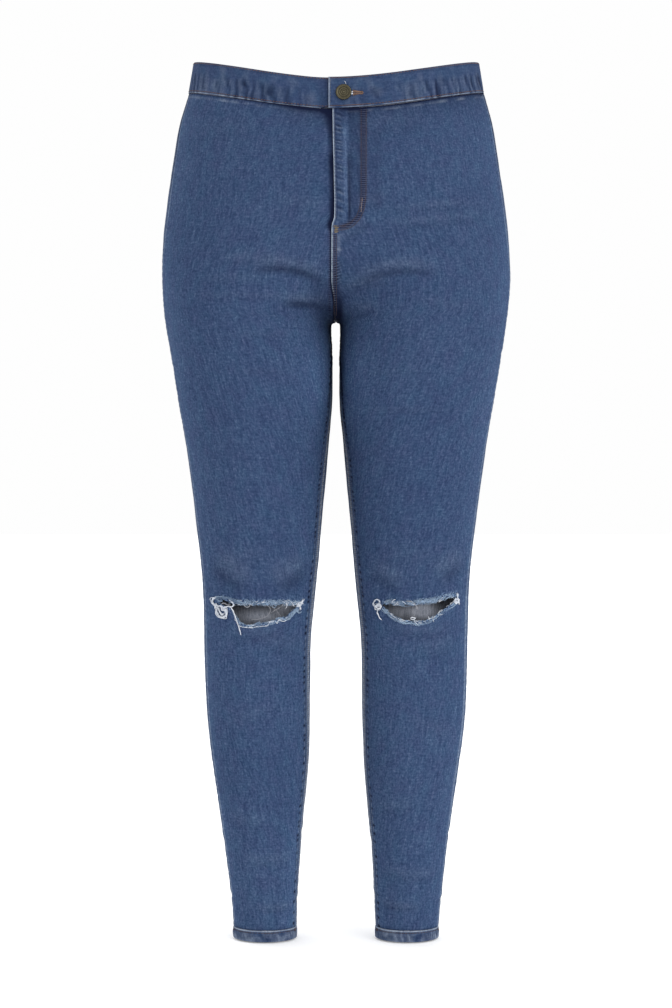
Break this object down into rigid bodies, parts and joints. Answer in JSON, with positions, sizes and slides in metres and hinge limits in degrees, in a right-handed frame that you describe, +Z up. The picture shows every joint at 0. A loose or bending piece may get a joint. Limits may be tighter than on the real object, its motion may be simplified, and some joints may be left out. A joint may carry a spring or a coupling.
{
  "type": "ripped jeans",
  "caption": "High-waisted skinny jeans in mid-blue denim, filled out as worn and empty inside, with a buttoned waistband, a zip fly and a ripped slit over each knee.",
  "frame": {"origin": "middle of the waist, level with the top edge at the side seams", "axes": "+Z up, the front faces -Y, +X to the wearer's left"},
  "size_m": [0.3952, 0.286, 0.992],
  "materials": {
    "denim": "matt mid-blue stretch denim, twill, slightly faded at seams and rips",
    "zip_tape": "matt woven tape, dark navy",
    "antique_brass": "antique, worn, satin"
  },
  "bodies": {
    "root": {"front_left": "denim", "front_right": "denim", "back_left": "denim", "back_right": "denim", "waistband": "denim", "hem_left": "denim", "hem_right": "denim", "fly_zip": "zip_tape", "button": "antique_brass"}
  },
  "joints": []
}
